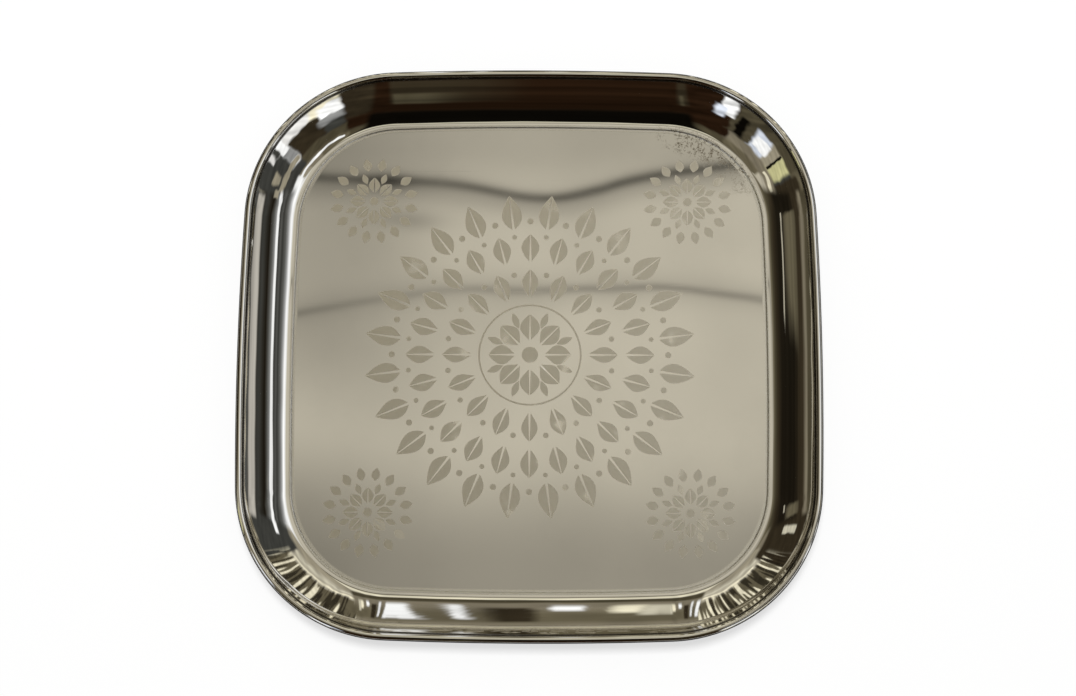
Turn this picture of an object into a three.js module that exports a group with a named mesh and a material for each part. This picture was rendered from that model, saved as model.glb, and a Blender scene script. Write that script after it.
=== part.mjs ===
// Square dinner plate pressed from one steel sheet, with its edge rolled round a stiffening wire.
// Millimetres, +Z up. The origin is the middle of the flat underside that the plate rests on.

import * as THREE from 'three';

// Plan of the outer edge: a square whose sides bow outwards, with round corners
const PLATE_WIDTH = 305;
const SIDE_RADIUS = 2000;
const CORNER_RADIUS = 81;

// Heights and widths of the pressed form, from the underside up and from the outer edge in
const PLATE_HEIGHT = 18;
const SHEET_THICKNESS = 0.7;
const RIM_WIDTH = 27.4;
const STEP_WIDTH = 0.9;
const STEP_RISE = 0.5;
const LEDGE_WIDTH = 0.4;
const FOOT_BEND_RADIUS = 8;

// Slopes of the wall in degrees from level, and how far each end keeps its slope, as a share of the wall
const WALL_FOOT_SLOPE = 24;
const WALL_TOP_SLOPE = 51.5;
const WALL_EASE = 0.34;

// Rolled edge
const WIRE_DIAMETER = 2;
const WIRE_CLEARANCE = 0.3;
const GROOVE_RADIUS = 0.6;
const CURL_START_SLOPE = 67.5;
const CURL_WRAP = 292.5;

// Facets along each kind of curve
const SIDE_STEPS = 4;
const CORNER_STEPS = 10;
const STEP_STEPS = 3;
const FOOT_BEND_STEPS = 3;
const WALL_STEPS = 6;
const GROOVE_STEPS = 2;
const CURL_STEPS = 13;
const WIRE_SIDES = 8;

const radians = THREE.MathUtils.degToRad;
const beadRadius = WIRE_DIAMETER / 2 + WIRE_CLEARANCE + SHEET_THICKNESS;
const beadCentre = new THREE.Vector2(beadRadius, PLATE_HEIGHT - beadRadius);

const plateSteel = new THREE.MeshStandardMaterial({ color: 0xc9c4b8, roughness: 0.08, metalness: 1 });
const wireSteel = new THREE.MeshStandardMaterial({ color: 0x9c9a94, roughness: 0.35, metalness: 1 });

// Stations round the outer edge. Each keeps the centre and radius of its own arc, so that an outline
// any distance inside the edge is the same arcs with that much less radius.
function edgeStations() {
  const sideCentre = SIDE_RADIUS - PLATE_WIDTH / 2;
  const centreGap = SIDE_RADIUS - CORNER_RADIUS;
  const cornerCentre = (Math.sqrt(2 * centreGap ** 2 - sideCentre ** 2) - sideCentre) / 2;
  const joinAngle = Math.atan2(cornerCentre, cornerCentre + sideCentre);
  const arcs = [
    { x: -sideCentre, y: 0, radius: SIDE_RADIUS, from: -joinAngle, to: joinAngle, steps: SIDE_STEPS },
    {
      x: cornerCentre,
      y: cornerCentre,
      radius: CORNER_RADIUS,
      from: joinAngle,
      to: Math.PI / 2 - joinAngle,
      steps: CORNER_STEPS,
    },
  ];
  const stations = [];
  for (let quarter = 0; quarter < 4; quarter += 1) {
    const turn = (quarter * Math.PI) / 2;
    for (const arc of arcs) {
      const centre = new THREE.Vector2(arc.x, arc.y).rotateAround(new THREE.Vector2(), turn);
      for (let step = 0; step < arc.steps; step += 1) {
        const angle = turn + THREE.MathUtils.lerp(arc.from, arc.to, step / arc.steps);
        stations.push({ centre, radius: arc.radius, angle });
      }
    }
  }
  return stations;
}

// A point at a station: inset is the distance inside the outer edge, and height is above the underside
function pointAt(station, inset, height) {
  const reach = station.radius - inset;
  return [
    station.centre.x + reach * Math.cos(station.angle),
    station.centre.y + reach * Math.sin(station.angle),
    height,
  ];
}

// Points and headings along an arc in the section plane, where x is the inset and y the height.
// The sheet travels outwards, so a heading of 0 runs level towards the outer edge.
function arcRun(centre, radius, fromHeading, toHeading, steps) {
  const side = Math.sign(toHeading - fromHeading);
  return Array.from({ length: steps + 1 }, (_, i) => {
    const heading = THREE.MathUtils.lerp(fromHeading, toHeading, i / steps);
    const x = centre.x - side * radius * Math.sin(heading);
    const y = centre.y - side * radius * Math.cos(heading);
    return { x, y, heading };
  });
}

function curveRun(curve, steps) {
  return Array.from({ length: steps + 1 }, (_, i) => {
    const point = curve.getPoint(i / steps);
    const tangent = curve.getTangent(i / steps);
    return { x: point.x, y: point.y, heading: Math.atan2(tangent.y, -tangent.x) };
  });
}

// Middle line of the sheet from the edge of the flat floor to the end of the curl
function sheetMiddle() {
  const half = SHEET_THICKNESS / 2;
  const footSlope = radians(WALL_FOOT_SLOPE);
  const topSlope = radians(WALL_TOP_SLOPE);
  const curlSlope = radians(CURL_START_SLOPE);

  const floorEdge = new THREE.Vector2(RIM_WIDTH, half);
  const ledgeStart = new THREE.Vector2(RIM_WIDTH - STEP_WIDTH, half + STEP_RISE);
  const step = new THREE.CubicBezierCurve(
    floorEdge,
    new THREE.Vector2(RIM_WIDTH - STEP_WIDTH / 2, floorEdge.y),
    new THREE.Vector2(RIM_WIDTH - STEP_WIDTH / 2, ledgeStart.y),
    ledgeStart,
  );

  const footCentre = new THREE.Vector2(ledgeStart.x - LEDGE_WIDTH, ledgeStart.y + FOOT_BEND_RADIUS);
  const foot = arcRun(footCentre, FOOT_BEND_RADIUS, 0, footSlope, FOOT_BEND_STEPS);

  const curlRadius = beadRadius - half;
  const curl = arcRun(beadCentre, curlRadius, curlSlope, curlSlope - radians(CURL_WRAP), CURL_STEPS);

  const grooveRadius = GROOVE_RADIUS + half;
  const grooveCentre = new THREE.Vector2(
    curl[0].x + grooveRadius * Math.sin(curlSlope),
    curl[0].y + grooveRadius * Math.cos(curlSlope),
  );
  const groove = arcRun(grooveCentre, grooveRadius, topSlope, curlSlope, GROOVE_STEPS);

  const wallStart = foot.at(-1);
  const wallEnd = groove[0];
  const ease = WALL_EASE * Math.hypot(wallStart.x - wallEnd.x, wallEnd.y - wallStart.y);
  const wall = new THREE.CubicBezierCurve(
    new THREE.Vector2(wallStart.x, wallStart.y),
    new THREE.Vector2(wallStart.x - ease * Math.cos(footSlope), wallStart.y + ease * Math.sin(footSlope)),
    new THREE.Vector2(wallEnd.x + ease * Math.cos(topSlope), wallEnd.y - ease * Math.sin(topSlope)),
    new THREE.Vector2(wallEnd.x, wallEnd.y),
  );

  // From the foot on, each stretch starts where the one before it ends, and that point is kept once
  return [
    ...curveRun(step, STEP_STEPS),
    ...foot,
    ...curveRun(wall, WALL_STEPS).slice(1),
    ...groove.slice(1),
    ...curl.slice(1),
  ];
}

// The sheet's two faces are its middle line moved half a thickness to each side
function faceOf(middle, offset) {
  return middle.map(({ x, y, heading }) => ({
    x: x + offset * Math.sin(heading),
    y: y + offset * Math.cos(heading),
  }));
}

// Sweeps a section round the plan. An open section is closed at the plate's middle by two flat fans.
function sweep(section, stations, closed) {
  const positions = [];
  const index = [];
  const rows = section.length;
  for (const station of stations) {
    for (const { x, y } of section) {
      positions.push(...pointAt(station, x, y));
    }
  }
  for (let i = 0; i < stations.length; i += 1) {
    const here = i * rows;
    const next = ((i + 1) % stations.length) * rows;
    for (let j = 0; j < (closed ? rows : rows - 1); j += 1) {
      const k = (j + 1) % rows;
      index.push(here + j, here + k, next + k, here + j, next + k, next + j);
    }
  }
  if (!closed) {
    const topMiddle = positions.length / 3;
    positions.push(0, 0, section[0].y, 0, 0, section.at(-1).y);
    for (let i = 0; i < stations.length; i += 1) {
      const here = i * rows;
      const next = ((i + 1) % stations.length) * rows;
      index.push(topMiddle, here, next);
      index.push(topMiddle + 1, next + rows - 1, here + rows - 1);
    }
  }
  const geometry = new THREE.BufferGeometry();
  geometry.setAttribute('position', new THREE.Float32BufferAttribute(positions, 3));
  geometry.setIndex(index);
  geometry.computeVertexNormals();
  return geometry;
}

function pressedPlate(stations) {
  const middle = sheetMiddle();
  const half = SHEET_THICKNESS / 2;
  const section = [...faceOf(middle, half), ...faceOf(middle, -half).reverse()];
  const mesh = new THREE.Mesh(sweep(section, stations, false), plateSteel);
  mesh.name = 'pressed_plate';
  return mesh;
}

function rimWire(stations) {
  const section = Array.from({ length: WIRE_SIDES }, (_, i) => {
    const angle = (2 * Math.PI * i) / WIRE_SIDES;
    return {
      x: beadCentre.x + (WIRE_DIAMETER / 2) * Math.cos(angle),
      y: beadCentre.y + (WIRE_DIAMETER / 2) * Math.sin(angle),
    };
  });
  const mesh = new THREE.Mesh(sweep(section, stations, true), wireSteel);
  mesh.name = 'rim_wire';
  return mesh;
}

const stations = edgeStations();
const plate = new THREE.Group();
plate.name = 'square_plate';
plate.add(pressedPlate(stations), rimWire(stations));

export default plate;
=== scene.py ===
"""Dresses a packed square plate: polished pressed steel, a rolled rim and a matt etched rosette."""

import math

import bpy
import numpy as np
from mathutils import Matrix, Vector, noise


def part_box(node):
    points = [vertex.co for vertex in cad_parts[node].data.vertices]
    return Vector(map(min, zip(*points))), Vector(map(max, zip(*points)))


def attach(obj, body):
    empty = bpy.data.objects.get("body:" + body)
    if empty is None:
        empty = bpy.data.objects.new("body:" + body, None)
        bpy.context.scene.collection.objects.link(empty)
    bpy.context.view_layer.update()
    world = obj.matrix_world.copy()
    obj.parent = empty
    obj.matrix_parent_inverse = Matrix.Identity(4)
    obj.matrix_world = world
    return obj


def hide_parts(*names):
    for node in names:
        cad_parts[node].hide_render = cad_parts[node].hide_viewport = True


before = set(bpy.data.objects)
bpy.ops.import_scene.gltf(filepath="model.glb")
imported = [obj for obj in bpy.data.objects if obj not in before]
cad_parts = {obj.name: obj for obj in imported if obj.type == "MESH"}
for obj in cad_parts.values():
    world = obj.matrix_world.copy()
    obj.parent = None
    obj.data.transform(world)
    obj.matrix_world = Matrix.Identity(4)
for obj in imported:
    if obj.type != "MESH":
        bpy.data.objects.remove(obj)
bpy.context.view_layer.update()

bl_info = {
    "name": "Square Steel Plate",
    "version": (1, 0, 0),
    "blender": (4, 5, 0),
    "location": "View3D > Sidebar > Steel Plate",
    "description": "Builds the pressed plate, its rim wire and a pale studio round them",
    "category": "Add Mesh",
}

PLATE_LOW, PLATE_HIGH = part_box("pressed_plate")
WIRE_LOW, WIRE_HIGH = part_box("rim_wire")

PLATE_WIDTH = PLATE_HIGH.x - PLATE_LOW.x
PLATE_HEIGHT = PLATE_HIGH.z - PLATE_LOW.z
WIRE_DIAMETER = WIRE_HIGH.z - WIRE_LOW.z
BEAD_RADIUS = PLATE_HIGH.z - (WIRE_HIGH.z + WIRE_LOW.z) / 2

BODY = "root"
QUARTERS = 4
MM = 0.001

# Facets along each kind of curve
SIDE_STEPS = 28
CORNER_STEPS = 44
STEP_STEPS = 8
FOOT_STEPS = 10
WALL_STEPS = 30
GROOVE_STEPS = 4
CURL_STEPS = 26
WIRE_SIDES = 16

# Loops of the flat floor as shares of the way to its edge, closer together near it
FLOOR_LOOPS = np.concatenate([np.linspace(0.02, 0.9, 36), np.linspace(0.92, 1, 7)[:-1]])

# Distances over which pressing leaves the steel uneven, and over which the wall's ripple ends
FLOOR_RIPPLE_SPAN = 55 * MM
WALL_RIPPLE_SPAN = 30 * MM
WALL_FINE_SPAN = 11 * MM
RIPPLE_FADE = 2 * MM


def length(name, description, default):
    """A length in metres, shown in the scene's units."""
    return bpy.props.FloatProperty(
        name=name, description=description, default=default, min=0, precision=5, unit="LENGTH"
    )


def slope(name, description, degrees):
    """An angle, given here in degrees and kept in radians."""
    return bpy.props.FloatProperty(
        name=name, description=description, default=math.radians(degrees), subtype="ANGLE"
    )


def share(name, description, default):
    """A number from 0 to 1."""
    return bpy.props.FloatProperty(
        name=name, description=description, default=default, min=0, max=1, subtype="FACTOR"
    )


def colour(name, description, default):
    """A colour in linear light."""
    return bpy.props.FloatVectorProperty(
        name=name, description=description, default=default, size=3, min=0, max=1, subtype="COLOR"
    )


class PressedSheet(bpy.types.PropertyGroup):
    """Sizes of the pressed sheet, from its outer edge inwards."""

    side_radius: length("Side radius", "How gently the four sides bow outwards", 2000 * MM)
    corner_radius: length("Corner radius", "Round of the outer corners", 81 * MM)
    sheet: length("Sheet", "Thickness of the steel", 0.7 * MM)
    rim_width: length("Rim width", "From the outer edge to the flat floor", 27.4 * MM)
    step_width: length("Step width", "Width of the small step round the floor", 0.9 * MM)
    step_rise: length("Step rise", "Height of the small step round the floor", 0.5 * MM)
    ledge_width: length("Ledge width", "Level strip outside the step", 0.4 * MM)
    foot_radius: length("Foot bend", "Bend where the wall leaves the ledge", 8 * MM)
    foot_slope: slope("Foot slope", "Slope of the wall at its foot", 24)
    top_slope: slope("Top slope", "Slope of the wall at its top", 51.5)
    wall_ease: share("Wall ease", "How far each end of the wall keeps its slope", 0.34)
    groove_radius: length("Groove radius", "Bend at the root of the rolled rim", 0.6 * MM)
    curl_slope: slope("Curl slope", "Slope at which the rolled rim starts", 67.5)
    curl_wrap: slope("Curl wrap", "Turn of the rolled rim round its wire", 292.5)
    floor_bow: length("Floor bow", "Rise of the floor's middle", 0.1 * MM)
    floor_ripple: length("Floor ripple", "Unevenness that pressing leaves in the floor", 0.07 * MM)
    wall_ripple: length("Wall ripple", "Unevenness that pressing leaves in the wall", 0.05 * MM)


class SteelFinish(bpy.types.PropertyGroup):
    """Colours and polish of the steel."""

    steel: colour("Steel", "Colour of the polished steel", (0.79, 0.77, 0.72))
    wire: colour("Wire", "Colour of the drawn wire", (0.61, 0.60, 0.58))
    floor_roughness: share("Floor roughness", "Roughness of the polished floor", 0.025)
    wall_roughness: share("Wall roughness", "Roughness of the polished wall", 0.02)
    back_roughness: share("Back roughness", "Roughness of the underside", 0.24)
    etch_roughness: share("Etch roughness", "Roughness of the etched ornament", 0.46)
    step_roughness: share("Step roughness", "Roughness of the step round the floor", 0.38)
    mark_roughness: share("Mark roughness", "Roughness of the dried water marks", 0.42)
    # The groove at the root of the rolled rim gets its own roughness and a near-black colour, which
    # is painted shade
    groove_shade_roughness: share("Tarnish roughness", "Roughness of the tarnish at the rim", 0.30)
    etch_steel: colour("Etched steel", "Colour of the etched ornament", (0.80, 0.76, 0.67))
    mark_tone: colour("Water marks", "Colour of the dried water marks", (0.20, 0.165, 0.12))
    groove_shade_tone: colour("Tarnish", "Colour of the tarnish at the rim", (0.028, 0.022, 0.018))
    etch_depth: length("Etch depth", "How deep the ornament is etched", 0.005 * MM)


class Ornament(bpy.types.PropertyGroup):
    """Sizes of the etched rosettes."""

    rosette: length("Middle rosette", "Radius of the rosette in the middle", 88 * MM)
    small_rosette: length("Corner rosette", "Radius of each corner rosette", 24 * MM)
    small_place: length("Corner place", "Corner rosette from the plate's middle lines", 84 * MM)


class Studio(bpy.types.PropertyGroup):
    """Table, lamps, reflection cards and camera."""

    table: colour("Table", "Colour of the table", (0.96, 0.96, 0.955))
    table_width: length("Table width", "Width of the table", 7.0)
    table_glow: share("Table glow", "How much of the table shows white, whatever lights it", 0.65)
    key_power: bpy.props.FloatProperty(
        name="Key power", description="Power of the soft lamp", default=76, min=0, unit="POWER"
    )
    lamp_width: length("Lamp width", "Width of the square lamp", 0.8)
    lamp_place: bpy.props.FloatVectorProperty(
        name="Lamp place", description="Where the soft lamp hangs", size=3, unit="LENGTH",
        default=(-0.04, 0.40, 3.00),
    )
    sky_level: share("Sky level", "Strength of the even light from all round", 0.25)
    dome_radius: length("Dome radius", "Radius of the dome of reflection cards", 1.4)
    dome_level: share("Dome level", "Strength of the reflection cards", 1.0)
    # The dark card round the plate is painted shade, seen only in reflections
    shade_radius: length("Shade radius", "Radius of the dark card round the plate", 0.42)
    lens: bpy.props.FloatProperty(
        name="Lens", description="Focal length in millimetres", default=69.2, min=1, unit="CAMERA"
    )
    eye: bpy.props.FloatVectorProperty(
        name="Eye", description="Where the camera stands", size=3, unit="LENGTH",
        default=(12.2 * MM, -222 * MM, 1070.7 * MM),
    )
    yaw: slope("Yaw", "Turn of the camera about the vertical", math.degrees(0.035))
    pitch: slope("Pitch", "Tilt of the camera from straight down", math.degrees(0.208))
    roll: slope("Roll", "Turn of the camera about its own line of sight", math.degrees(-0.031))


def smooth(value, low, high):
    """0 below low, 1 above high and an even ease between them, on numbers or arrays."""
    part = np.clip((value - low) / (high - low), 0, 1)
    return part * part * (3 - 2 * part)


def window(value, low, high, edge):
    """1 between low and high, with soft edges that are centred on them."""
    half = edge / 2
    return smooth(value, low - half, low + half) * (1 - smooth(value, high - half, high + half))


# Form of the pressed sheet


class Edge:
    """Stations round the outer edge, each on an arc with a centre and radius of its own.

    The outline any distance inside the edge is the same arcs with that much less radius."""

    def __init__(self, sheet):
        side_centre = sheet.side_radius - PLATE_WIDTH / 2
        gap = sheet.side_radius - sheet.corner_radius
        corner = (math.sqrt(2 * gap**2 - side_centre**2) - side_centre) / 2
        join = math.atan2(corner, corner + side_centre)
        arcs = (
            ((-side_centre, 0), sheet.side_radius, -join, join, SIDE_STEPS),
            ((corner, corner), sheet.corner_radius, join, math.pi / 2 - join, CORNER_STEPS),
        )
        centres, radii, angles = [], [], []
        for quarter in range(QUARTERS):
            turn = quarter * math.pi / 2
            for centre, radius, start, end, steps in arcs:
                centres += [Matrix.Rotation(turn, 2) @ Vector(centre)] * steps
                radii += [radius] * steps
                angles += list(turn + start + (end - start) * np.arange(steps) / steps)
        self.centre = np.array(centres)
        self.radius = np.array(radii)
        self.outward = np.column_stack([np.cos(angles), np.sin(angles)])

    def loop(self, inset, height):
        """The outline at an inset, as an array of points."""
        flat = self.centre + (self.radius - inset)[:, None] * self.outward
        return np.column_stack([flat, np.full(len(flat), height)])

    def normals(self, heading):
        """Directions square to the sheet's upper face where the sheet runs at this heading."""
        lean = -math.sin(heading) * self.outward
        return np.column_stack([lean, np.full(len(lean), math.cos(heading))])


def arc_run(centre, radius, start, end, steps):
    """Inset, height and heading along an arc. The sheet runs outwards, and heading 0 is level."""
    heading = np.linspace(start, end, steps + 1)
    side = math.copysign(1, end - start)
    inset = centre[0] - side * radius * np.sin(heading)
    height = centre[1] - side * radius * np.cos(heading)
    return np.column_stack([inset, height, heading])


def bezier_run(points, steps):
    """Inset, height and heading along a cubic curve."""
    a, b, c, d = (np.array(point) for point in points)
    t = np.linspace(0, 1, steps + 1)[:, None]
    place = (1 - t) ** 3 * a + 3 * (1 - t) ** 2 * t * b + 3 * (1 - t) * t**2 * c + t**3 * d
    pull = (1 - t) ** 2 * (b - a) + 2 * (1 - t) * t * (c - b) + t**2 * (d - c)
    return np.column_stack([place, np.arctan2(pull[:, 1], -pull[:, 0])])


def sheet_middle(sheet):
    """Middle line of the sheet from the edge of the flat floor to the end of the curl."""
    half = sheet.sheet / 2
    floor_edge = (sheet.rim_width, half)
    ledge_start = (sheet.rim_width - sheet.step_width, half + sheet.step_rise)
    step_middle = sheet.rim_width - sheet.step_width / 2
    bends = ((step_middle, floor_edge[1]), (step_middle, ledge_start[1]))
    step = bezier_run((floor_edge, *bends, ledge_start), STEP_STEPS)

    foot_centre = (ledge_start[0] - sheet.ledge_width, ledge_start[1] + sheet.foot_radius)
    foot = arc_run(foot_centre, sheet.foot_radius, 0, sheet.foot_slope, FOOT_STEPS)

    bead = (BEAD_RADIUS, PLATE_HEIGHT - BEAD_RADIUS)
    curl_end = sheet.curl_slope - sheet.curl_wrap
    curl = arc_run(bead, BEAD_RADIUS - half, sheet.curl_slope, curl_end, CURL_STEPS)

    groove_radius = sheet.groove_radius + half
    toward = np.array([math.sin(sheet.curl_slope), math.cos(sheet.curl_slope)])
    groove_centre = curl[0, :2] + groove_radius * toward
    groove = arc_run(
        groove_centre, groove_radius, sheet.top_slope, sheet.curl_slope, GROOVE_STEPS
    )

    start, end = foot[-1, :2], groove[0, :2]
    ease = sheet.wall_ease * np.linalg.norm(end - start)
    rise = ease * np.array([-math.cos(sheet.foot_slope), math.sin(sheet.foot_slope)])
    arrive = ease * np.array([-math.cos(sheet.top_slope), math.sin(sheet.top_slope)])
    wall = bezier_run((start, start + rise, end - arrive, end), WALL_STEPS)
    return np.vstack([step, foot, wall[1:], groove[1:], curl[1:]])


def unevenness(points, scale):
    """A smooth number between about -1 and 1 at each point, which changes over this distance."""
    return np.array([noise.noise(Vector(point) / scale) for point in points])


def floor_lift(points, share_out, sheet):
    """How far pressing has raised the floor: a slight bow and a ripple, both none at its edge."""
    bow = sheet.floor_bow * (1 - share_out**2) ** 2
    ripple = 0.5 + 0.5 * unevenness(points, FLOOR_RIPPLE_SPAN)
    return bow + sheet.floor_ripple * ripple * (1 - share_out**4)


def wall_shift(points, inset, heading, sheet):
    """How far pressing has pushed the wall along its own normal, none at the ledge and the bead."""
    if not 0 <= heading <= sheet.top_slope:
        return np.zeros(len(points))
    top = 2 * BEAD_RADIUS + RIPPLE_FADE / 2
    foot = sheet.rim_width - 3 * sheet.step_width - RIPPLE_FADE / 2
    weight = window(inset, top, foot, RIPPLE_FADE)
    broad = unevenness(points, WALL_RIPPLE_SPAN)
    fine = unevenness(points, WALL_FINE_SPAN)
    return sheet.wall_ripple * weight * (broad + 0.4 * fine)


def grid_mesh(name, rows, closed, caps=()):
    """A mesh from loops of points, all of one length, where closed joins the last to the first.

    Caps are two middle points that close the first and the last loop."""
    count = len(rows[0])
    verts = np.vstack([*rows, *[np.array(cap)[None] for cap in caps]])
    here = np.arange(count)
    after = (here + 1) % count
    faces = []
    for low in range(len(rows) if closed else len(rows) - 1):
        inner, outer = low * count, (low + 1) % len(rows) * count
        quads = [here + inner, here + outer, after + outer, after + inner]
        faces += np.column_stack(quads).tolist()
    if caps:
        first, last = len(verts) - 2, len(verts) - 1
        sides = list(zip(here.tolist(), after.tolist()))
        outer = (len(rows) - 1) * count
        faces += [(first, a, b) for a, b in sides]
        faces += [(last, outer + b, outer + a) for a, b in sides]
    mesh = bpy.data.meshes.new(name)
    mesh.from_pydata(verts.tolist(), [], faces)
    mesh.shade_smooth()
    return mesh


def paint(mesh, name, values):
    """One number at each point of a mesh, for its material."""
    attribute = mesh.attributes.new(name, "FLOAT", "POINT")
    attribute.data.foreach_set("value", values.astype(np.float32))


def paint_glow(mesh, colours):
    """The light that each point of a card gives."""
    attribute = mesh.attributes.new("card_glow", "FLOAT_COLOR", "POINT")
    attribute.data.foreach_set("color", colours.astype(np.float32).ravel())


def add_object(name, data):
    """A new object of the scene, with any older one of that name taken away."""
    old = bpy.data.objects.get(name)
    if old:
        bpy.data.objects.remove(old)
    made = bpy.data.objects.new(name, data)
    bpy.context.scene.collection.objects.link(made)
    return made


def pressed_plate_mesh(sheet):
    """The whole sheet as one closed skin, painted with its upper face, groove and step."""
    edge = Edge(sheet)
    middle = sheet_middle(sheet)
    half = sheet.sheet / 2

    def floor_rows(height):
        rim = edge.loop(sheet.rim_width, height)
        rows = []
        for share_out in FLOOR_LOOPS:
            row = rim * (share_out, share_out, 1)
            row[:, 2] += floor_lift(row * (1, 1, 0), share_out, sheet)
            rows.append(row)
        return rows

    def section_rows(offset):
        rows = []
        for inset, height, heading in middle:
            base = edge.loop(inset, height)
            shift = offset + wall_shift(base, inset, heading, sheet)
            rows.append(base + shift[:, None] * edge.normals(heading))
        return rows

    top = floor_rows(sheet.sheet) + section_rows(half)
    bottom = floor_rows(0) + section_rows(-half)
    rise = float(floor_lift(np.zeros((1, 3)), 0, sheet)[0])
    caps = [(0, 0, sheet.sheet + rise), (0, 0, rise)]
    mesh = grid_mesh("pressed_steel_plate", top + bottom[::-1], False, caps)

    around = len(edge.radius)
    face_up = np.zeros(len(mesh.vertices))
    face_up[: len(top) * around] = 1
    face_up[-len(caps)] = 1
    paint(mesh, "face_up", face_up)

    def paint_upper_loops(name, by_loop):
        """One number for each loop of the upper face outside the floor."""
        values = np.zeros(len(mesh.vertices))
        start = len(FLOOR_LOOPS) * around
        values[start : start + len(middle) * around] = np.repeat(by_loop, around)
        paint(mesh, name, values)

    insets = np.where(middle[:, 1] > PLATE_HEIGHT / 2, middle[:, 0], 0)
    root = 2 * BEAD_RADIUS
    # The groove at the root of the bead, which the material paints near black as shade
    groove_shade = window(insets, root - 0.55 * MM, root + 0.35 * MM, 0.5 * MM)
    groove_shade[middle[:, 2] < 0] = 0
    paint_upper_loops("in_groove", groove_shade)

    ledge_end = sheet.rim_width - sheet.step_width - sheet.ledge_width
    worn = window(middle[:, 0], ledge_end, sheet.rim_width + 1 * MM, 0.8 * MM)
    paint_upper_loops("on_step", worn)
    return mesh


def rim_wire_mesh(sheet):
    """The round wire inside the rolled rim."""
    edge = Edge(sheet)
    rows = []
    radius = WIRE_DIAMETER / 2
    for angle in np.linspace(0, 2 * math.pi, WIRE_SIDES, endpoint=False):
        inset = BEAD_RADIUS + radius * math.cos(angle)
        height = PLATE_HEIGHT - BEAD_RADIUS + radius * math.sin(angle)
        rows.append(edge.loop(inset, height))
    return grid_mesh("rim_stiffening_wire", rows, True)


# Materials


class Field:
    """A socket of a node tree. Arithmetic on it adds Math nodes, and node() adds any other kind."""

    def __init__(self, tree, socket=None):
        self.tree = tree
        self.socket = socket

    def node(self, kind, settings=None, sockets=None, output=0):
        made = self.tree.nodes.new(kind)
        for name, value in (settings or {}).items():
            setattr(made, name, value)
        for name, value in (sockets or {}).items():
            if isinstance(value, Field):
                self.tree.links.new(value.socket, made.inputs[name])
            else:
                made.inputs[name].default_value = value
        return Field(self.tree, made.outputs[output] if made.outputs else None)

    def maths(self, operation, *values):
        """A Math node on these values, in this order."""
        return self.node("ShaderNodeMath", {"operation": operation}, dict(enumerate(values)))

    def __add__(self, other):
        return self.maths("ADD", self, other)

    def __sub__(self, other):
        return self.maths("SUBTRACT", self, other)

    def __rsub__(self, other):
        return self.maths("SUBTRACT", other, self)

    def __mul__(self, other):
        return self.maths("MULTIPLY", self, other)

    def __truediv__(self, other):
        return self.maths("DIVIDE", self, other)

    def __pow__(self, other):
        return self.maths("POWER", self, other)

    def __abs__(self):
        return self.maths("ABSOLUTE", self)

    __radd__ = __add__
    __rmul__ = __mul__

    def at_least(self, low):
        return self.maths("MAXIMUM", self, low)

    def at_most(self, high):
        return self.maths("MINIMUM", self, high)

    def between(self, none, full):
        """0 at none, 1 at full and an even ease from one to the other."""
        low, high = min(none, full), max(none, full)
        sockets = {"Value": self, "From Min": low, "From Max": high}
        eased = self.node("ShaderNodeMapRange", {"interpolation_type": "SMOOTHSTEP"}, sockets)
        return 1 - eased if none > full else eased

    def blend(self, first, second):
        """A number that is first where this is 0 and second where it is 1."""
        return self.node("ShaderNodeMix", {"data_type": "FLOAT"}, {0: self, 2: first, 3: second})

    def tint(self, first, second):
        """A colour that is first where this is 0 and second where it is 1."""
        sockets = {0: self, 6: with_alpha(first), 7: with_alpha(second)}
        return self.node("ShaderNodeMix", {"data_type": "RGBA"}, sockets, 2)


def with_alpha(value):
    """Colours here have three numbers, and a colour socket takes four."""
    return value if isinstance(value, Field) else (*value[:3], 1)


def shaded(value, factor):
    """A colour made lighter or darker."""
    return tuple(factor * channel for channel in value)


def new_material(name):
    """An empty material and a Field that adds nodes to it."""
    material = bpy.data.materials.get(name) or bpy.data.materials.new(name)
    material.use_nodes = True
    material.node_tree.nodes.clear()
    return material, Field(material.node_tree)


def grain(place, scale, detail=2, roughness=0.5):
    """Soft noise from 0 to 1. At a scale of 100 it changes about every 10 mm."""
    sockets = {"Vector": place, "Scale": scale, "Detail": detail, "Roughness": roughness}
    return place.node("ShaderNodeTexNoise", {}, sockets)


def streaks(place, degrees, along, across):
    """Noise drawn out in one direction of the plate, with a scale along it and one across it."""
    turn = (0, 0, math.radians(degrees))
    sockets = {"Vector": place, "Rotation": turn, "Scale": (along, across, along)}
    return grain(place.node("ShaderNodeMapping", {}, sockets), 1, 3)


# Etched ornament. Each function gives a mask that is 1 where the steel is etched.

ETCH_EDGE = 0.25 * MM
FROSTING_DEPTH = 2e-3 * MM
SCRATCH_DEPTH = 4e-4 * MM
WIRE_GRAIN_DEPTH = 2e-3 * MM

# Rings of petals: how many, then the inner end, outer end and half width as shares of the
# rosette's radius, belly, turn in sectors, and the half width of the vein
MAIN_PETALS = (
    (8, 0.075, 0.25, 0.062, 1.3, 0, 0.5 * MM),
    (8, 0.17, 0.28, 0.022, 1, 0.5, 0),
    (16, 0.33, 0.53, 0.050, 1.35, 0, 0.6 * MM),
    (24, 0.56, 0.75, 0.055, 1.2, 0, 0.6 * MM),
    (24, 0.78, 1, 0.062, 0.8, 0.5, 0.6 * MM),
)
SMALL_PETALS = (
    (8, 0.16, 0.55, 0.13, 1.2, 0, 0.35 * MM),
    (8, 0.42, 0.68, 0.07, 1, 0.5, 0),
    (16, 0.70, 1, 0.10, 0.9, 0.5, 0),
)

# Rings of dots: how many, distance out and size as shares of the radius, and turn in sectors
MAIN_DOTS = (
    (16, 0.50, 0.018, 0.5),
    (24, 0.735, 0.016, 0.5),
    (24, 0.83, 0.020, 0),
)


def polar(x, y):
    """Distance and bearing of a point from the middle of a rosette."""
    return (x * x + y * y) ** 0.5, x.maths("ARCTAN2", y, x)


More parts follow.
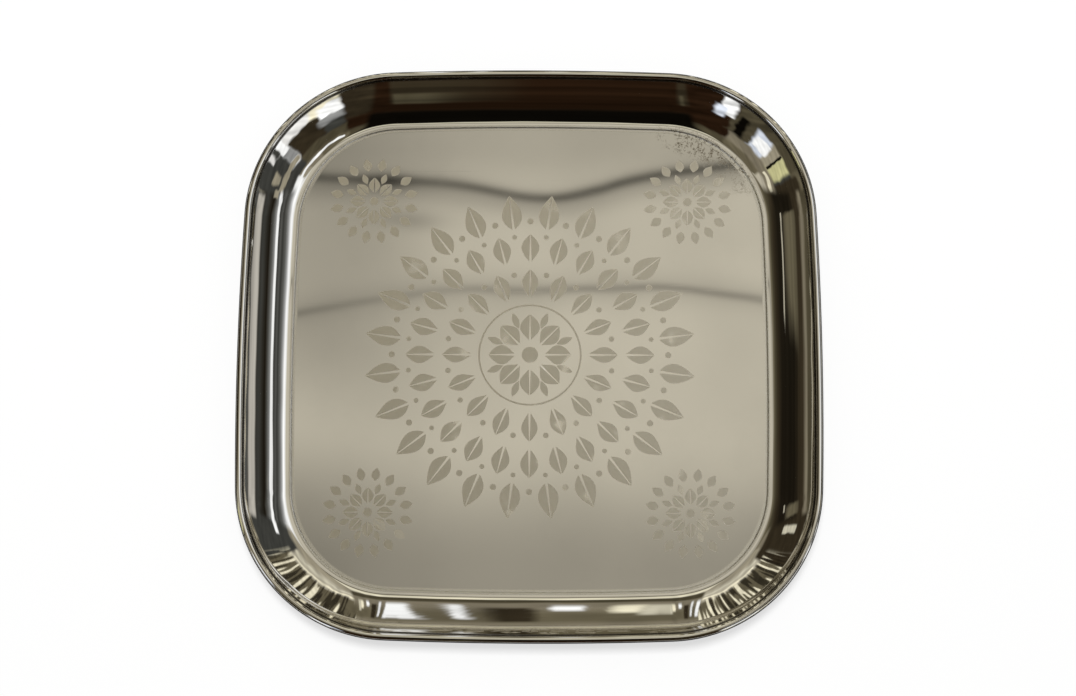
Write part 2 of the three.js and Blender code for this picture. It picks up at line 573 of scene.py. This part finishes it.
def across_sector(reach, bearing, count, turn):
    """Distance from the middle line of the nearest of so many equal sectors."""
    sector = 2 * math.pi / count
    turned = bearing / sector + (turn + 0.5)
    return abs(turned.maths("FRACT", turned) - 0.5) * (reach * sector)


def petals(reach, bearing, radius, count, inner, outer, half_width, belly, turn, vein):
    """A ring of pointed petals. A belly over 1 makes them widest further out."""
    across = across_sector(reach, bearing, count, turn)
    along = ((reach - inner * radius) / ((outer - inner) * radius)).at_least(0).at_most(1)
    swelling = along**belly * math.pi
    outline = swelling.maths("SINE", swelling) * (half_width * radius)
    mask = (outline - across).between(0, ETCH_EDGE)
    if vein:
        mask = mask * (across - (1 - along) * vein).between(0, ETCH_EDGE)
    return mask


def dots(reach, bearing, radius, count, out, size, turn):
    """A ring of round dots."""
    across = across_sector(reach, bearing, count, turn)
    away = reach - out * radius
    return disc((across * across + away * away) ** 0.5, size * radius)


def disc(reach, radius):
    return reach.between(radius, radius - ETCH_EDGE)


def ring(reach, radius, half_width):
    return abs(reach - radius).between(half_width, half_width - ETCH_EDGE)


def main_rosette(x, y, radius):
    """The rosette in the middle of the floor."""
    reach, bearing = polar(x, y)
    etched = disc(reach, 0.05 * radius) + ring(reach, 0.305 * radius, 0.6 * MM)
    for petal_ring in MAIN_PETALS:
        etched = etched + petals(reach, bearing, radius, *petal_ring)
    for dot_ring in MAIN_DOTS:
        etched = etched + dots(reach, bearing, radius, *dot_ring)
    return etched


def small_rosettes(x, y, radius, place):
    """One rosette near each corner, from distances to the plate's middle lines."""
    reach, bearing = polar(abs(x) - place, abs(y) - place)
    etched = disc(reach, 0.10 * radius)
    for petal_ring in SMALL_PETALS:
        etched = etched + petals(reach, bearing, radius, *petal_ring)
    return etched


def wiping_lines(place):
    """Fine scratches that wiping leaves, in three directions."""
    return (
        streaks(place, 12, 14, 1900).between(0.70, 0.78)
        + streaks(place, -38, 11, 1500).between(0.70, 0.78)
        + streaks(place, 71, 16, 2300).between(0.70, 0.78)
    )


def water_marks(place, x, y, outward, floor_half):
    """Dark dried specks that cling to the floor's edge round one corner."""
    band = outward.between(floor_half - 9 * MM, floor_half - 2 * MM)
    band = band * outward.between(floor_half + 7 * MM, floor_half + 3 * MM)
    corner = x.between(66 * MM, 76 * MM) * y.between(86 * MM, 98 * MM)
    specks = grain(place, 600, 4, 0.75).between(0.56, 0.60)
    outlines = abs(grain(place, 120, 4, 0.75) - 0.53).between(0.015, 0.005)
    patches = grain(place, 60, 2).between(0.34, 0.46)
    return band * corner * patches * (specks * 0.8 + outlines).at_most(1)


def polished_steel(finish, ornament, sheet):
    """Mirror-polished steel with its ornament, haze, wiping lines, water marks, and painted shade
    that darkens the groove at the rim.
    """
    material, field = new_material("polished_steel_finish")
    place = field.node("ShaderNodeTexCoord", output="Object")
    x = field.node("ShaderNodeSeparateXYZ", {}, {"Vector": place}, "X")
    y = field.node("ShaderNodeSeparateXYZ", {}, {"Vector": place}, "Y")
    face_up = field.node("ShaderNodeAttribute", {"attribute_name": "face_up"}, {}, "Fac")

    floor_half = PLATE_WIDTH / 2 - sheet.rim_width
    outward = (abs(x) ** 4 + abs(y) ** 4) ** 0.25
    on_floor = outward.between(floor_half + 2 * MM, floor_half - 2 * MM)

    rosettes = main_rosette(x, y, ornament.rosette)
    rosettes = rosettes + small_rosettes(x, y, ornament.small_rosette, ornament.small_place)
    worn = grain(place, 70, 2).between(0.58, 0.72)
    etched = (rosettes * face_up).at_most(1) * (1 - worn * 0.65)

    haze = grain(place, 22, 4, 0.6).between(0.42, 0.75)
    wiped = streaks(place, 24, 6, 90).between(0.55, 0.80)
    scratched = wiping_lines(place)
    marked = water_marks(place, x, y, outward, floor_half) * face_up
    frosting = grain(place, 5200)
    in_groove = field.node("ShaderNodeAttribute", {"attribute_name": "in_groove"}, {}, "Fac")
    on_step = field.node("ShaderNodeAttribute", {"attribute_name": "on_step"}, {}, "Fac")
    # Painted shade: the groove at the root of the rolled rim is darkened to near black
    groove_shade_mask = in_groove * (0.7 + 0.6 * grain(place, 130, 3)).at_most(1)

    polish = on_floor.blend(finish.wall_roughness, finish.floor_roughness)
    polish = polish + haze * 0.012 + wiped * 0.008 + scratched * 0.05
    polish = on_step.blend(polish, finish.step_roughness)
    polish = face_up.blend(finish.back_roughness + haze * 0.08, polish)
    polish = marked.blend(polish, finish.mark_roughness)
    polish = etched.blend(polish, finish.etch_roughness + (frosting - 0.5) * 0.10)
    polish = groove_shade_mask.blend(polish, finish.groove_shade_roughness)

    tone = haze.tint(finish.steel, shaded(finish.steel, 0.965))
    tone = marked.tint(tone, finish.mark_tone)
    frosted = frosting.tint(shaded(finish.etch_steel, 0.93), shaded(finish.etch_steel, 1.07))
    tone = etched.tint(tone, frosted)
    # Painted shade in the groove at the rim
    tone = groove_shade_mask.tint(tone, finish.groove_shade_tone)

    etching = etched * frosting * FROSTING_DEPTH - etched * finish.etch_depth
    relief = etching - scratched * SCRATCH_DEPTH
    normal = field.node("ShaderNodeBump", {}, {"Distance": 1.0, "Height": relief})
    sockets = {"Base Color": tone, "Metallic": 1.0, "Roughness": polish, "Normal": normal}
    shader = field.node("ShaderNodeBsdfPrincipled", {}, sockets)
    field.node("ShaderNodeOutputMaterial", {}, {"Surface": shader})
    return material


def drawn_wire(finish):
    """Plain drawn wire, a little mottled."""
    material, field = new_material("wire_steel_finish")
    place = field.node("ShaderNodeTexCoord", output="Object")
    mottle = grain(place, 160, 3)
    tone = mottle.tint(shaded(finish.wire, 0.88), finish.wire)
    sockets = {"Strength": 0.4, "Distance": WIRE_GRAIN_DEPTH, "Height": grain(place, 3000)}
    normal = field.node("ShaderNodeBump", {}, sockets)
    polish = 0.30 + mottle * 0.14
    sockets = {"Base Color": tone, "Metallic": 1.0, "Roughness": polish, "Normal": normal}
    shader = field.node("ShaderNodeBsdfPrincipled", {}, sockets)
    field.node("ShaderNodeOutputMaterial", {}, {"Surface": shader})
    return material


def background_rays(field):
    """1 for rays that show the background: from the camera, off metal and through glass."""
    seen = 0
    for kind in ("Is Camera Ray", "Is Glossy Ray", "Is Transmission Ray"):
        seen = field.node("ShaderNodeLightPath", output=kind) + seen
    return seen.at_most(1)


def table_surface(studio):
    """A pale matt table that shows white, and darker where the plate shades it."""
    material, field = new_material("pale_table")
    place = field.node("ShaderNodeTexCoord", output="Object")
    tone = grain(place, 30, 3).tint(studio.table, shaded(studio.table, 0.99))
    matt = field.node("ShaderNodeBsdfDiffuse", {}, {"Color": tone})
    white = field.node("ShaderNodeEmission", {}, {"Strength": 1.0})
    factor = background_rays(field) * studio.table_glow
    shader = field.node("ShaderNodeMixShader", {}, {0: factor, 1: matt, 2: white})
    field.node("ShaderNodeOutputMaterial", {}, {"Surface": shader})
    return material


def glowing_cards(name, level):
    """Cards that give the light painted on them and are left out of light sampling."""
    material, field = new_material(name)
    tone = field.node("ShaderNodeAttribute", {"attribute_name": "card_glow"}, {}, "Color")
    shader = field.node("ShaderNodeEmission", {}, {"Color": tone, "Strength": level})
    field.node("ShaderNodeOutputMaterial", {}, {"Surface": shader})
    material.cycles.emission_sampling = "NONE"
    return material


# Studio


# The table and the shade card lie a little under the plate, so that no two faces coincide
TABLE_DROP = 0.1 * MM
SHADE_DROP = 0.05 * MM
SHADE_SIDES = 96
SHADE_LOOPS = 24
# Level of the painted-shade card next to the plate, rising to full away from it
SHADE_LEVEL = 0.02

# The camera's sensor in millimetres, and how near and far it sees in metres
SENSOR_WIDTH = 36
NEAREST_VIEW = 0.01
FARTHEST_VIEW = 50

# What the polished steel mirrors, as display colours
TONES = {
    "white": (248, 248, 246),
    "silver": (222, 220, 216),
    "sky": (200, 206, 216),
    "cream": (232, 224, 196),
    "straw": (188, 184, 136),
    "sand": (196, 190, 168),
    "pale": (176, 169, 150),
    "linen": (186, 179, 161),
    "putty": (174, 169, 159),
    "beige": (150, 142, 122),
    "grey": (134, 134, 132),
    "dusk": (122, 114, 96),
    "olive": (96, 89, 70),
    "iron": (84, 84, 80),
    "moss": (72, 66, 50),
    "slate": (58, 58, 54),
    "earth": (48, 41, 29),
    "umber": (35, 22, 12),
    "soot": (26, 22, 15),
    "black": (10, 8, 5),
}

# Rows of cards side by side: reach from and to, the bearing that the row starts at, then each
# card's tone and width. All are in degrees about the patch that the flat floor mirrors.
ROWS = (
    (13, 39, -180, (
        ("pale", 23), ("olive", 33), ("moss", 58), ("olive", 24), ("dusk", 12), ("beige", 20),
        ("white", 24), ("beige", 133), ("dusk", 33),
    )),
    (39, 50, -180, (
        ("dusk", 55), ("umber", 59), ("moss", 36), ("slate", 66), ("pale", 104), ("earth", 40),
    )),
    (50, 76, -180, (
        ("slate", 13), ("straw", 9), ("beige", 8), ("sky", 11), ("moss", 6), ("black", 6),
        ("moss", 4), ("umber", 57), ("slate", 14), ("earth", 22), ("white", 5), ("slate", 35),
    )),
    (76, 92, -180, (
        ("olive", 12), ("moss", 43), ("umber", 59), ("cream", 18), ("silver", 23), ("slate", 23),
        ("sand", 12), ("beige", 24), ("olive", 105), ("dusk", 35),
    )),
    (50, 80, 10, (
        ("slate", 25), ("olive", 106), ("earth", 47),
    )),
)

# Single cards over the rows: bearing from and to, reach from and to, tone and softness
CARDS = (
    (-62, -8, 35, 37.5, "white", 0.8),
    (-20, 18, 30, 40, "white", 3),
    (-86, -66, 52, 92, "earth", 6),
    (-124, -116, 66, 93, "white", 2.5),
    (-119, -113, 61, 76, "sky", 3),
    (-66, -50, 60, 69, "grey", 4),
    (-66, -52, 69, 84, "white", 3),
    (-31, -24, 57, 71, "grey", 3),
    (-62, -22, 88, 96, "slate", 3),
    (-29, -24.5, 71, 91, "white", 1.5),
    (-21, -17, 76, 92, "silver", 2),
    (-15, -9, 60, 70, "beige", 2.5),
    (-30, -6, 51, 57, "beige", 2),
    (-151, -140, 55, 70, "white", 2),
    (-158.5, -156.5, 50, 76, "black", 1),
    (-172, -158, 43, 46, "cream", 1.5),
    (11, 23, 50.5, 54.5, "white", 2),
    (159, 163, 56, 72, "sand", 1.5),
    (36, 139, 41, 43, "sand", 1.5),
    (38, 135, 45.5, 48, "cream", 1.5),
)

# Soft falls of light that the four straight walls show: tones by degrees from straight up
FAR_FALL = (
    (0, "cream"), (8, "sand"), (13, "black"), (36, "black"), (40, "umber"), (92, "umber"),
)
NEAR_FALL = (
    (23, "moss"), (27, "olive"), (30, "sand"), (40, "cream"), (46, "sand"), (49, "moss"),
    (52, "moss"), (54, "dusk"), (60, "dusk"), (70, "olive"), (80, "olive"), (86, "dusk"),
    (95, "olive"),
)
LEFT_FALL = (
    (12, "sand"), (20, "silver"), (26, "white"), (34, "white"), (38, "grey"), (41, "iron"),
    (44, "slate"), (46.5, "iron"), (49.3, "slate"), (50.2, "white"), (52.6, "white"), (54, "grey"),
    (57, "iron"), (61, "soot"), (70, "slate"), (80, "soot"), (90, "soot"),
)
RIGHT_FALL = (
    (12, "pale"), (16, "dusk"), (24, "olive"), (36, "moss"), (40, "earth"), (45, "soot"),
    (62, "soot"), (68, "earth"), (74, "earth"), (77.5, "dusk"), (79.5, "dusk"), (82, "moss"),
    (87, "moss"), (92, "earth"),
)

# Cards over them by where they lie from straight up: side to side from and to, near to far from and
# to, in degrees, then tone and softness
LANES = (
    (-9, -2.5, -80, -48, "earth", 4),
    (-6.5, -4, -61, -48, "moss", 2.5),
    (-8, -6.4, 57, 80, "white", 0.5),
    (-4.7, -3.8, 57, 78, "white", 0.5),
    (-2.9, -0.7, 60, 82, "earth", 0.8),
    (0.35, 1.7, 57, 64, "white", 0.5),
    (3.2, 4.5, 57, 68, "cream", 0.6),
    (4.5, 5.6, 57, 72, "sand", 0.8),
    (74, 84, 10, 30, "putty", 3),
    (85, 87, 6, 30, "iron", 1),
    (87.5, 91, 8, 30, "grey", 1.5),
    (56, 62, 4, 9, "beige", 2),
    (-50.4, -49, 15.5, 20, "pale", 0.8),
    (-68, -53, 17, 24, "olive", 2.5),
)

# Soft edges in degrees: of a row, between the cards of a row, and where a fall or lane ends
ROW_EDGE = 4
CARD_EDGE = 3
LANE_FADE = 5

# The dome reaches just under the table, in loops round a middle that leans to the far side
DOME_BEARINGS = 1080
DOME_LEAN = 11
HORIZON = 91
DOME_LOOPS = np.concatenate([np.linspace(0.001, 0.19, 120), np.linspace(0.19, 1, 210)[1:]])


def to_linear(display):
    """Linear light of a display colour from 0 to 255."""
    value = np.asarray(display, float) / 255
    return np.where(value <= 0.04045, value / 12.92, ((value + 0.055) / 1.055) ** 2.4)


def field_noise(x, y, scale, seed):
    """Smooth noise from about -1 to 1 on two arrays of degrees."""
    flat = [noise.noise(Vector((a / scale, b / scale, seed))) for a, b in zip(x.ravel(), y.ravel())]
    return np.array(flat).reshape(x.shape)


def laid_over(glow, tone, mask):
    return glow + mask[..., None] * (to_linear(TONES[tone]) - glow)


def within(value, start, end, edge):
    """1 where a bearing is between two others, the shorter way round."""
    aside = np.abs((value - (start + end) / 2 + 180) % 360 - 180)
    half = (end - start) / 2
    return 1 - smooth(aside, half - edge / 2, half + edge / 2)


def floor_view(x, y, wander, fine):
    """The even part that the flat floor mirrors, with two soft dark beams across it."""
    glow = to_linear(TONES["linen"]) * np.ones((*x.shape, 3))
    lit = 1 - 0.8 * np.exp(-(((y - 8) / 2.5) ** 2))
    glow = glow * (1 - 0.28 * smooth(x, -3, -12) * lit)[..., None]
    glow = glow * (1 - 0.40 * smooth(y, 8, 1) - 0.24 * smooth(y, 19.5, 22))[..., None]
    far_beam = 20.35 - 0.7 * np.exp(-((x / 3.2) ** 2)) + 0.10 * np.clip(x - 3, 0, None)
    far_beam = far_beam + 0.12 * wander
    near_beam = 15 - 0.014 * np.clip(x + 2, None, 0) ** 2 - 0.02 * np.clip(x - 5, 0, None) ** 2
    bands = (
        (y - far_beam, 0.26, 0.74 + 0.25 * wander),
        (y - far_beam + 0.35, 0.75, 0.30),
        (y - near_beam - 0.15 * fine, 0.20, 0.42 + 0.25 * wander),
        (y - near_beam, 0.8, 0.16),
        (np.hypot((x + 7.8) / 1.5, (y - 20.2) / 0.55), 0.8, 0.65),
        (np.hypot((x + 6.8) / 2.2, (y - 18.4) / 0.6), 0.8, 0.30),
        (np.hypot((x + 9.5) / 4, (y - 20.5) / 2.5), 0.8, 0.13),
        (np.hypot((x - 9) / 4, (y - 3) / 3), 0.8, 0.08),
    )
    for away, width, depth in bands:
        strength = np.clip(depth, 0, 1) * np.exp(-((away / width) ** 2))
        glow = glow * (1 - strength)[..., None]
    return glow


def fall_of_light(across, stops):
    """Linear light along a row of tones, each at its own number of degrees."""
    places, tones = zip(*stops)
    display = np.array([TONES[tone] for tone in tones], float)
    return to_linear(np.dstack([np.interp(across, places, display[:, k]) for k in range(3)]))


def with_cards(glow, bearing, reach):
    """The rows of cards, and the single cards over them."""
    for near, far, start, cards in ROWS:
        band = window(reach, near, far + ROW_EDGE, ROW_EDGE)
        for tone, width in cards:
            edge = min(CARD_EDGE, 0.6 * width)
            mask = band * within(bearing, start, start + width + edge, edge)
            glow = laid_over(glow, tone, mask)
            start += width
    for start, end, near, far, tone, edge in CARDS:
        mask = within(bearing, start, end, edge) * window(reach, near, far, edge)
        glow = laid_over(glow, tone, mask)
    return glow


def with_falls(glow, x, y, curly, fine):
    """The falls of light of the four straight walls, and the lanes over them."""
    side = np.abs(x) + 1.2 * curly + 0.6 * fine
    tilted = y - DOME_LEAN - 0.08 * (np.abs(x) - 12)
    depth = np.abs(y) + 0.7 * curly + 0.3 * fine
    falls = (
        (depth, FAR_FALL, window(x, -8.5, 8, LANE_FADE) * smooth(y, 0, -4)),
        (depth, NEAR_FALL, window(x, -8.5, 8, 2) * smooth(y, 22, 24)),
        (side, LEFT_FALL, window(tilted, -9, 11, LANE_FADE) * smooth(x, 10, 12)),
        (side, RIGHT_FALL, window(tilted, -9, 11, LANE_FADE) * smooth(x, -11, -13)),
    )
    for across, stops, mask in falls:
        glow = glow + mask[..., None] * (fall_of_light(across, stops) - glow)
    for left, right, near, far, tone, edge in LANES:
        # A lane is as soft as it says across, and fades out along its length
        fades = [edge if span < 3 * edge + 3 else LANE_FADE for span in (right - left, far - near)]
        mask = window(x + 0.12 * fine, left, right, fades[0])
        mask = mask * window(y + 0.8 * fine, near, far, fades[1])
        glow = laid_over(glow, tone, mask)
    return glow


def dome_glow(bearing, reach, x, y):
    """Light of the dome at each point, given both about the leaned middle and from straight up."""
    wander = field_noise(x, y, 14, 3.1)
    fine = field_noise(x, y, 3.5, 7.7)
    curly = field_noise(x, y, 7, 1.9)
    slats = field_noise(bearing, reach / 30, 1.3, 5.5)
    drawn_out = field_noise(x, y / 6, 2.4, 9.3)
    drawn_across = field_noise(x / 5, y, 4, 4.4)
    high = smooth(reach, 14, 30)

    # The parts that the near wall and the far wall mirror
    near_wall = within(bearing, 35, 145, 10)
    far_wall = smooth(y, -20, -40)

    aside = (1.0 * wander + 1.2 * curly + 0.4 * fine) * high * (1 - 0.7 * near_wall)
    bent_reach = reach + 1.6 * wander + 1.6 * curly + 0.7 * fine
    glow = to_linear(TONES["moss"]) * np.ones((*x.shape, 3))
    glow = with_cards(glow, bearing + aside, bent_reach)

    # Light and dark stripes in the two near corners
    corners = near_wall * window(bent_reach, 48, 82, 5)
    glow = laid_over(glow, "cream", smooth(slats, -0.16, -0.34) * corners)
    glow = laid_over(glow, "soot", 0.8 * smooth(slats, 0.08, 0.24) * corners)

    glow = with_falls(glow, x, y, curly, fine)
    on_floor = smooth(((x + 0.65) / 11.75) ** 4 + ((y - 11.4) / 11.4) ** 4, 1.30, 1.12)
    glow = glow + on_floor[..., None] * (floor_view(x, y, wander, fine) - glow)

    drawn = 0.25 * high * (1 - far_wall) * drawn_out + 0.55 * far_wall * drawn_across
    return glow * (1 + 0.10 * wander + 0.08 * fine + drawn)[..., None]


def reflection_dome(studio, finish):
    """A dome of soft cards that only reflections show. Polished steel has no look without them."""
    bearings = np.linspace(-180, 180, DOME_BEARINGS, endpoint=False)
    cos, sin = np.cos(np.radians(bearings)), np.sin(np.radians(bearings))
    farthest = np.sqrt(HORIZON**2 - (DOME_LEAN * cos) ** 2) - DOME_LEAN * sin
    reach = farthest[None, :] * DOME_LOOPS[:, None]
    x, y = reach * cos, DOME_LEAN + reach * sin
    zenith, azimuth = np.radians(np.hypot(x, y)), np.arctan2(y, x)
    flat = studio.dome_radius * np.sin(zenith)
    height = studio.dome_radius * np.cos(zenith)
    points = np.dstack([flat * np.cos(azimuth), flat * np.sin(azimuth), height])

    mesh = grid_mesh("reflection_dome", list(points), False)
    glow = dome_glow(np.broadcast_to(bearings, x.shape), reach, x, y) / np.array(finish.steel)
    paint_glow(mesh, np.concatenate([glow.reshape(-1, 3), np.ones((glow.size // 3, 1))], axis=1))
    dome = add_object("reflection_dome", mesh)
    dome.data.materials.append(glowing_cards("reflection_cards", studio.dome_level))
    show_in_reflections_only(dome)
    return dome


def shade_card(studio):
    """A dark card on the table round the plate, seen only in reflections, which darkens the edges
    that face the table: painted shade that stands for the plate's shadow there.
    """
    turn = np.linspace(0, 2 * math.pi, SHADE_SIDES, endpoint=False)
    circle = np.column_stack([np.cos(turn), np.sin(turn), np.zeros(SHADE_SIDES)])
    radii = np.linspace(PLATE_WIDTH / 4, studio.shade_radius, SHADE_LOOPS)
    mesh = grid_mesh("shade_card", [radius * circle for radius in radii], False)
    fade = smooth(radii, 0.6 * studio.shade_radius, studio.shade_radius)
    level = SHADE_LEVEL + (1 - SHADE_LEVEL) * fade
    paint_glow(mesh, np.repeat(level, SHADE_SIDES)[:, None] * (1, 1, 1, 1))
    card = add_object("shade_card", mesh)
    card.location.z = -SHADE_DROP
    card.data.materials.append(bpy.data.materials["reflection_cards"])
    show_in_reflections_only(card)
    return card


def show_in_reflections_only(card):
    for kind in ("camera", "diffuse", "transmission", "volume_scatter", "shadow"):
        setattr(card, "visible_" + kind, False)


def table_top(studio):
    """A large flat table that the plate stands on."""
    half = studio.table_width / 2
    corners = [(-half, -half, 0), (half, -half, 0), (half, half, 0), (-half, half, 0)]
    mesh = bpy.data.meshes.new("table_top")
    mesh.from_pydata(corners, [], [(0, 1, 2, 3)])
    table = add_object("table_top", mesh)
    table.location.z = -TABLE_DROP
    mesh.materials.append(table_surface(studio))
    return table


def even_sky(studio):
    """Even light from all round, which shows as white behind the plate."""
    world = bpy.data.worlds.new("even_sky")
    world.use_nodes = True
    world.node_tree.nodes.clear()
    field = Field(world.node_tree)
    level = background_rays(field).blend(studio.sky_level, 1.0)
    shader = field.node("ShaderNodeBackground", {}, {"Color": (1, 1, 1, 1), "Strength": level})
    field.node("ShaderNodeOutputWorld", {}, {"Surface": shader})
    bpy.context.scene.world = world


def soft_lamp(studio):
    """One large soft lamp high on the far side."""
    light = bpy.data.lights.new("soft_lamp", "AREA")
    light.shape = "SQUARE"
    light.size = studio.lamp_width
    light.energy = studio.key_power
    lamp = add_object("soft_lamp", light)
    lamp.location = studio.lamp_place
    lamp.rotation_euler = (-lamp.location).to_track_quat("-Z", "Y").to_euler()
    lamp.visible_glossy = False
    return lamp


def camera(studio):
    """The camera, almost straight above the plate and a little to its near side."""
    data = bpy.data.cameras.new("plate_camera")
    data.lens = studio.lens
    data.sensor_width = SENSOR_WIDTH
    data.clip_start = NEAREST_VIEW
    data.clip_end = FARTHEST_VIEW
    made = add_object("plate_camera", data)
    turn = (
        Matrix.Rotation(studio.yaw, 4, "Z")
        @ Matrix.Rotation(studio.pitch, 4, "X")
        @ Matrix.Rotation(studio.roll, 4, "Z")
    )
    made.matrix_world = Matrix.Translation(studio.eye) @ turn
    bpy.context.scene.camera = made
    return made


# Operators and panel


class STEELPLATE_OT_plate(bpy.types.Operator):
    """Build the pressed sheet: floor, step, wall and rolled rim"""

    bl_idname = "steel_plate.build_plate"
    bl_label = "Pressed Plate"

    def execute(self, context):
        scene = context.scene
        plate = add_object("pressed_steel_plate", pressed_plate_mesh(scene.plate_sheet))
        plate.data.materials.append(
            polished_steel(scene.plate_finish, scene.plate_ornament, scene.plate_sheet)
        )
        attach(plate, BODY)
        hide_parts("pressed_plate")
        return {"FINISHED"}


class STEELPLATE_OT_wire(bpy.types.Operator):
    """Build the round wire that stiffens the rolled rim"""

    bl_idname = "steel_plate.build_wire"
    bl_label = "Rim Wire"

    def execute(self, context):
        wire = add_object("rim_stiffening_wire", rim_wire_mesh(context.scene.plate_sheet))
        wire.data.materials.append(drawn_wire(context.scene.plate_finish))
        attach(wire, BODY)
        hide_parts("rim_wire")
        return {"FINISHED"}


class STEELPLATE_OT_studio(bpy.types.Operator):
    """Set up the table, the even sky, the soft lamp, the reflection cards and the camera"""

    bl_idname = "steel_plate.build_studio"
    bl_label = "Studio"

    def execute(self, context):
        studio = context.scene.plate_studio
        table_top(studio)
        reflection_dome(studio, context.scene.plate_finish)
        shade_card(studio)
        even_sky(studio)
        soft_lamp(studio)
        camera(studio)
        context.scene.view_settings.view_transform = "Standard"
        return {"FINISHED"}


class STEELPLATE_PT_panel(bpy.types.Panel):
    """Buttons and sizes of the steel plate"""

    bl_label = "Square Steel Plate"
    bl_idname = "STEELPLATE_PT_panel"
    bl_space_type = "VIEW_3D"
    bl_region_type = "UI"
    bl_category = "Steel Plate"

    def draw(self, context):
        layout = self.layout
        for operator, groups in STEPS:
            box = layout.box()
            box.operator(operator.bl_idname)
            for group in groups:
                settings = getattr(context.scene, group)
                for name in settings.__annotations__:
                    box.prop(settings, name)


STEPS = (
    (STEELPLATE_OT_plate, ("plate_sheet", "plate_finish", "plate_ornament")),
    (STEELPLATE_OT_wire, ()),
    (STEELPLATE_OT_studio, ("plate_studio",)),
)
GROUPS = {
    "plate_sheet": PressedSheet,
    "plate_finish": SteelFinish,
    "plate_ornament": Ornament,
    "plate_studio": Studio,
}
CLASSES = (*GROUPS.values(), *(operator for operator, _ in STEPS), STEELPLATE_PT_panel)


def register():
    for made in CLASSES:
        bpy.utils.register_class(made)
    for name, group in GROUPS.items():
        setattr(bpy.types.Scene, name, bpy.props.PointerProperty(type=group))


def unregister():
    for name in GROUPS:
        delattr(bpy.types.Scene, name)
    for made in reversed(CLASSES):
        bpy.utils.unregister_class(made)


def main():
    register()
    bpy.ops.steel_plate.build_plate()
    bpy.ops.steel_plate.build_wire()
    bpy.ops.steel_plate.build_studio()


if __name__ == "__main__":
    main()
